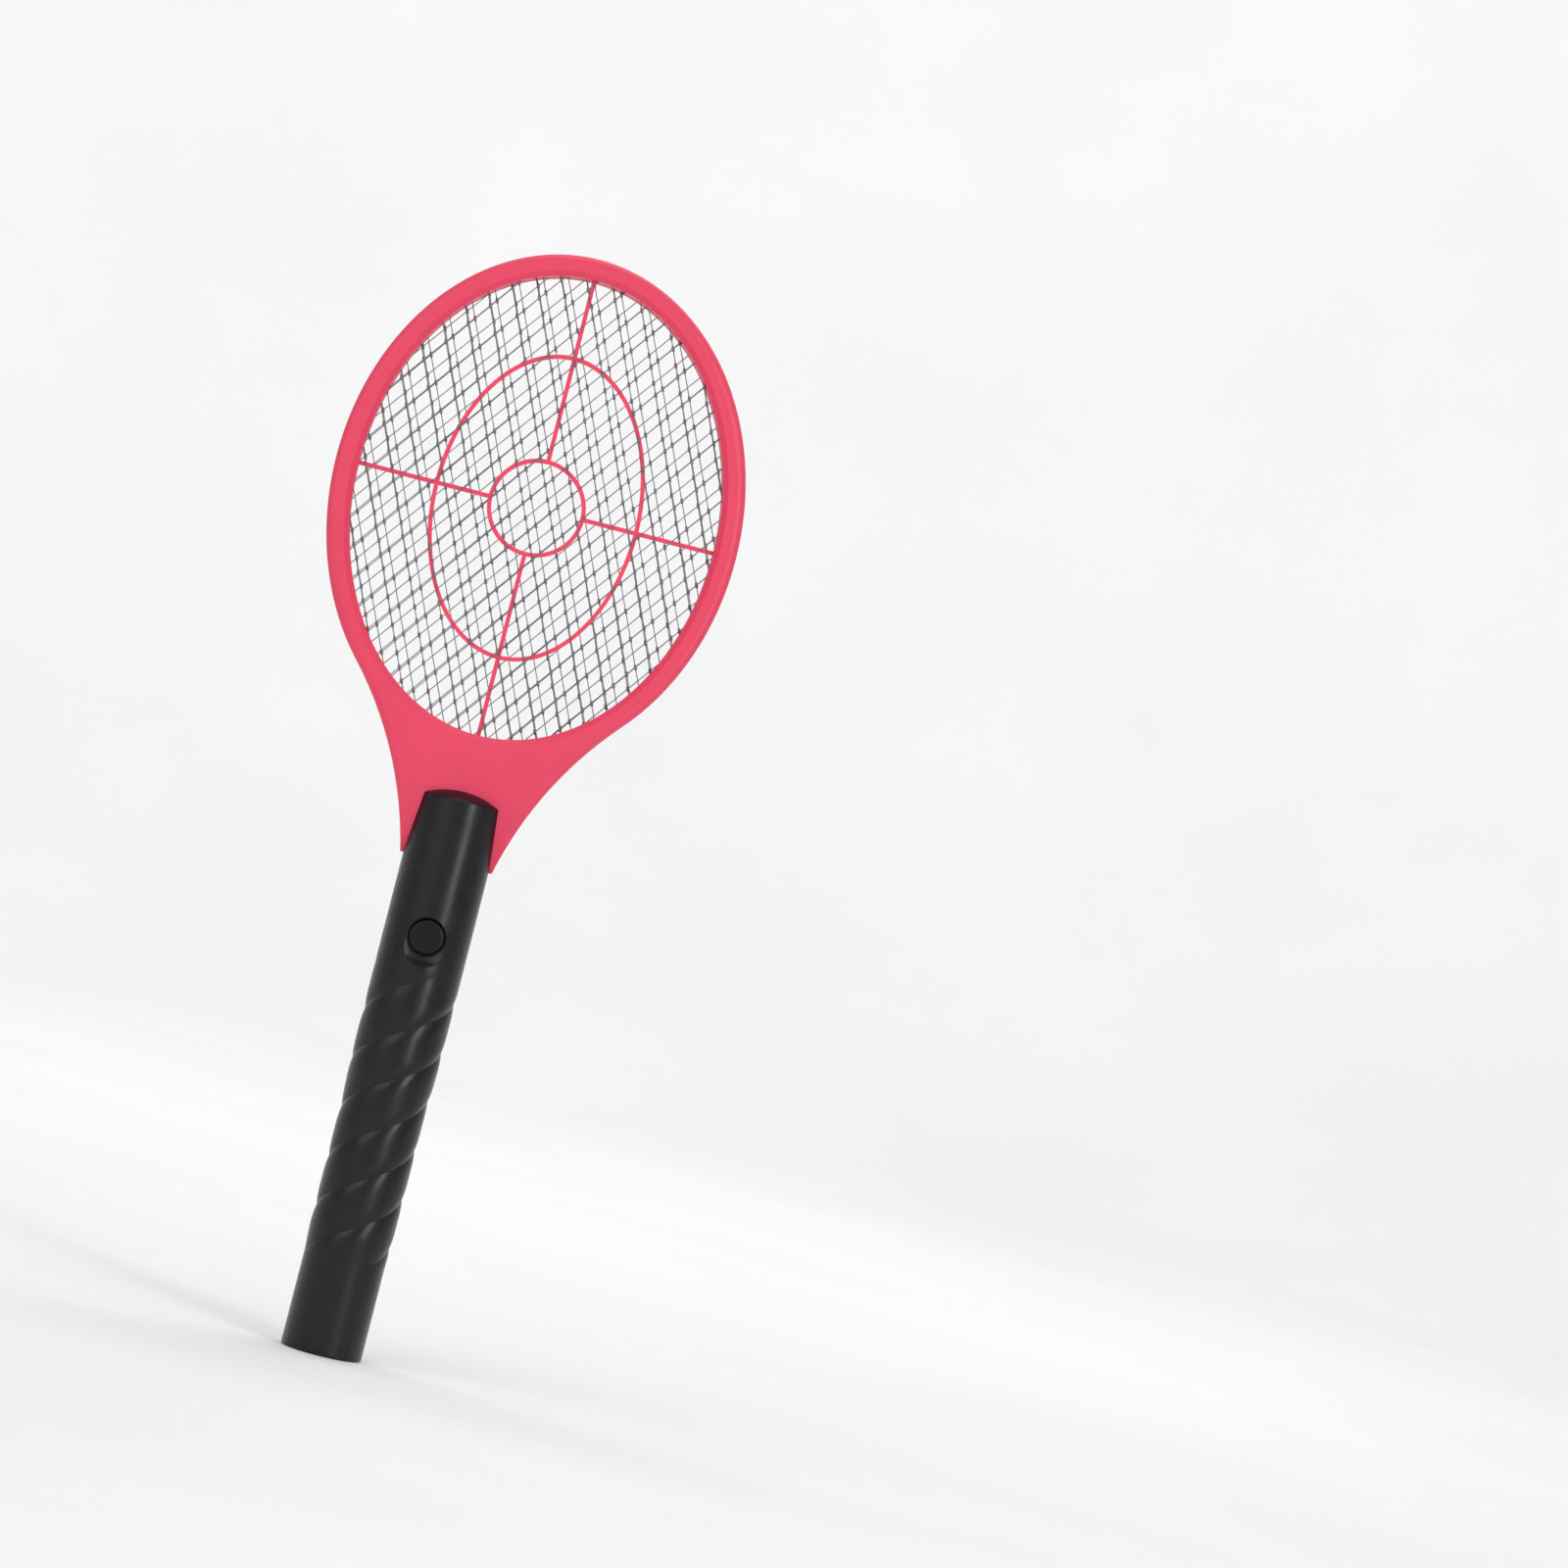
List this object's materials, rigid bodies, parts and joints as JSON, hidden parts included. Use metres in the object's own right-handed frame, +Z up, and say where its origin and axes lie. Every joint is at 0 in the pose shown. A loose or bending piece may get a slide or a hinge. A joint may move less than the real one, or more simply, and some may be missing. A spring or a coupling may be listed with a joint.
{
  "type": "electric fly swatter",
  "caption": "Racket-shaped electric fly swatter with an oval head of wire nets, a flared neck, a round rope-twist handle, a push button and a battery door.",
  "frame": {"origin": "centre of the flat lower end of the handle", "axes": "+Z up the racket from handle to head, -Y out of the front face with the button, +X to the right seen from the front"},
  "size_m": [0.1714, 0.0376, 0.4688],
  "materials": {
    "coral_plastic": "glossy moulded",
    "net_wire": "dark drawn wire",
    "black_plastic": "satin moulded",
    "button_plastic": "satin moulded",
    "screw_steel": "zinc plated",
    "switch_plastic": "moulded",
    "board_laminate": "lacquered laminate",
    "ferrite": "sintered",
    "copper_winding": "enamelled wire",
    "capacitor_film": "dipped",
    "resistor_body": "lacquered",
    "component_black": "moulded",
    "ceramic_disc": "dipped",
    "cell_jacket": "shrink sleeve",
    "nickel_plate": "nickel plated",
    "red_lead": "insulation",
    "black_lead": "insulation"
  },
  "bodies": {
    "racket": {"front_frame": "coral_plastic", "rear_frame": "coral_plastic", "neck_screws": "screw_steel", "front_net": "net_wire", "middle_net": "net_wire", "rear_net": "net_wire", "front_net_spacer": "coral_plastic", "rear_net_spacer": "coral_plastic", "front_handle_shell": "black_plastic", "rear_handle_shell": "black_plastic", "handle_screws": "screw_steel", "switch_body": "switch_plastic", "circuit_board": "board_laminate", "board_screws": "screw_steel", "transformer_core": "ferrite", "transformer_winding": "copper_winding", "storage_capacitor": "capacitor_film", "resistors": "resistor_body", "rectifier_diodes": "component_black", "doubler_capacitors": "ceramic_disc", "transistor": "component_black", "battery_left": "cell_jacket", "battery_right": "cell_jacket", "battery_bridge": "nickel_plate", "positive_contact": "nickel_plate", "negative_contact": "nickel_plate", "lower_battery_spring": "nickel_plate", "upper_battery_spring": "nickel_plate", "positive_lead": "red_lead", "negative_lead": "black_lead", "high_voltage_lead": "red_lead", "ground_lead": "black_lead"},
    "button": {"push_button": "button_plastic", "switch_plunger": "switch_plastic"},
    "door": {"battery_door": "black_plastic"}
  },
  "joints": [
    {"name": "button_press", "type": "slide", "parent": "racket", "child": "button", "axis": [0, 1, 0], "range_m": [0, 0.0015], "stiffness_N_per_m": 900},
    {"name": "door_lift", "type": "slide", "parent": "racket", "child": "door", "axis": [0, 1, 0], "range_m": [0, 0.03]}
  ]
}
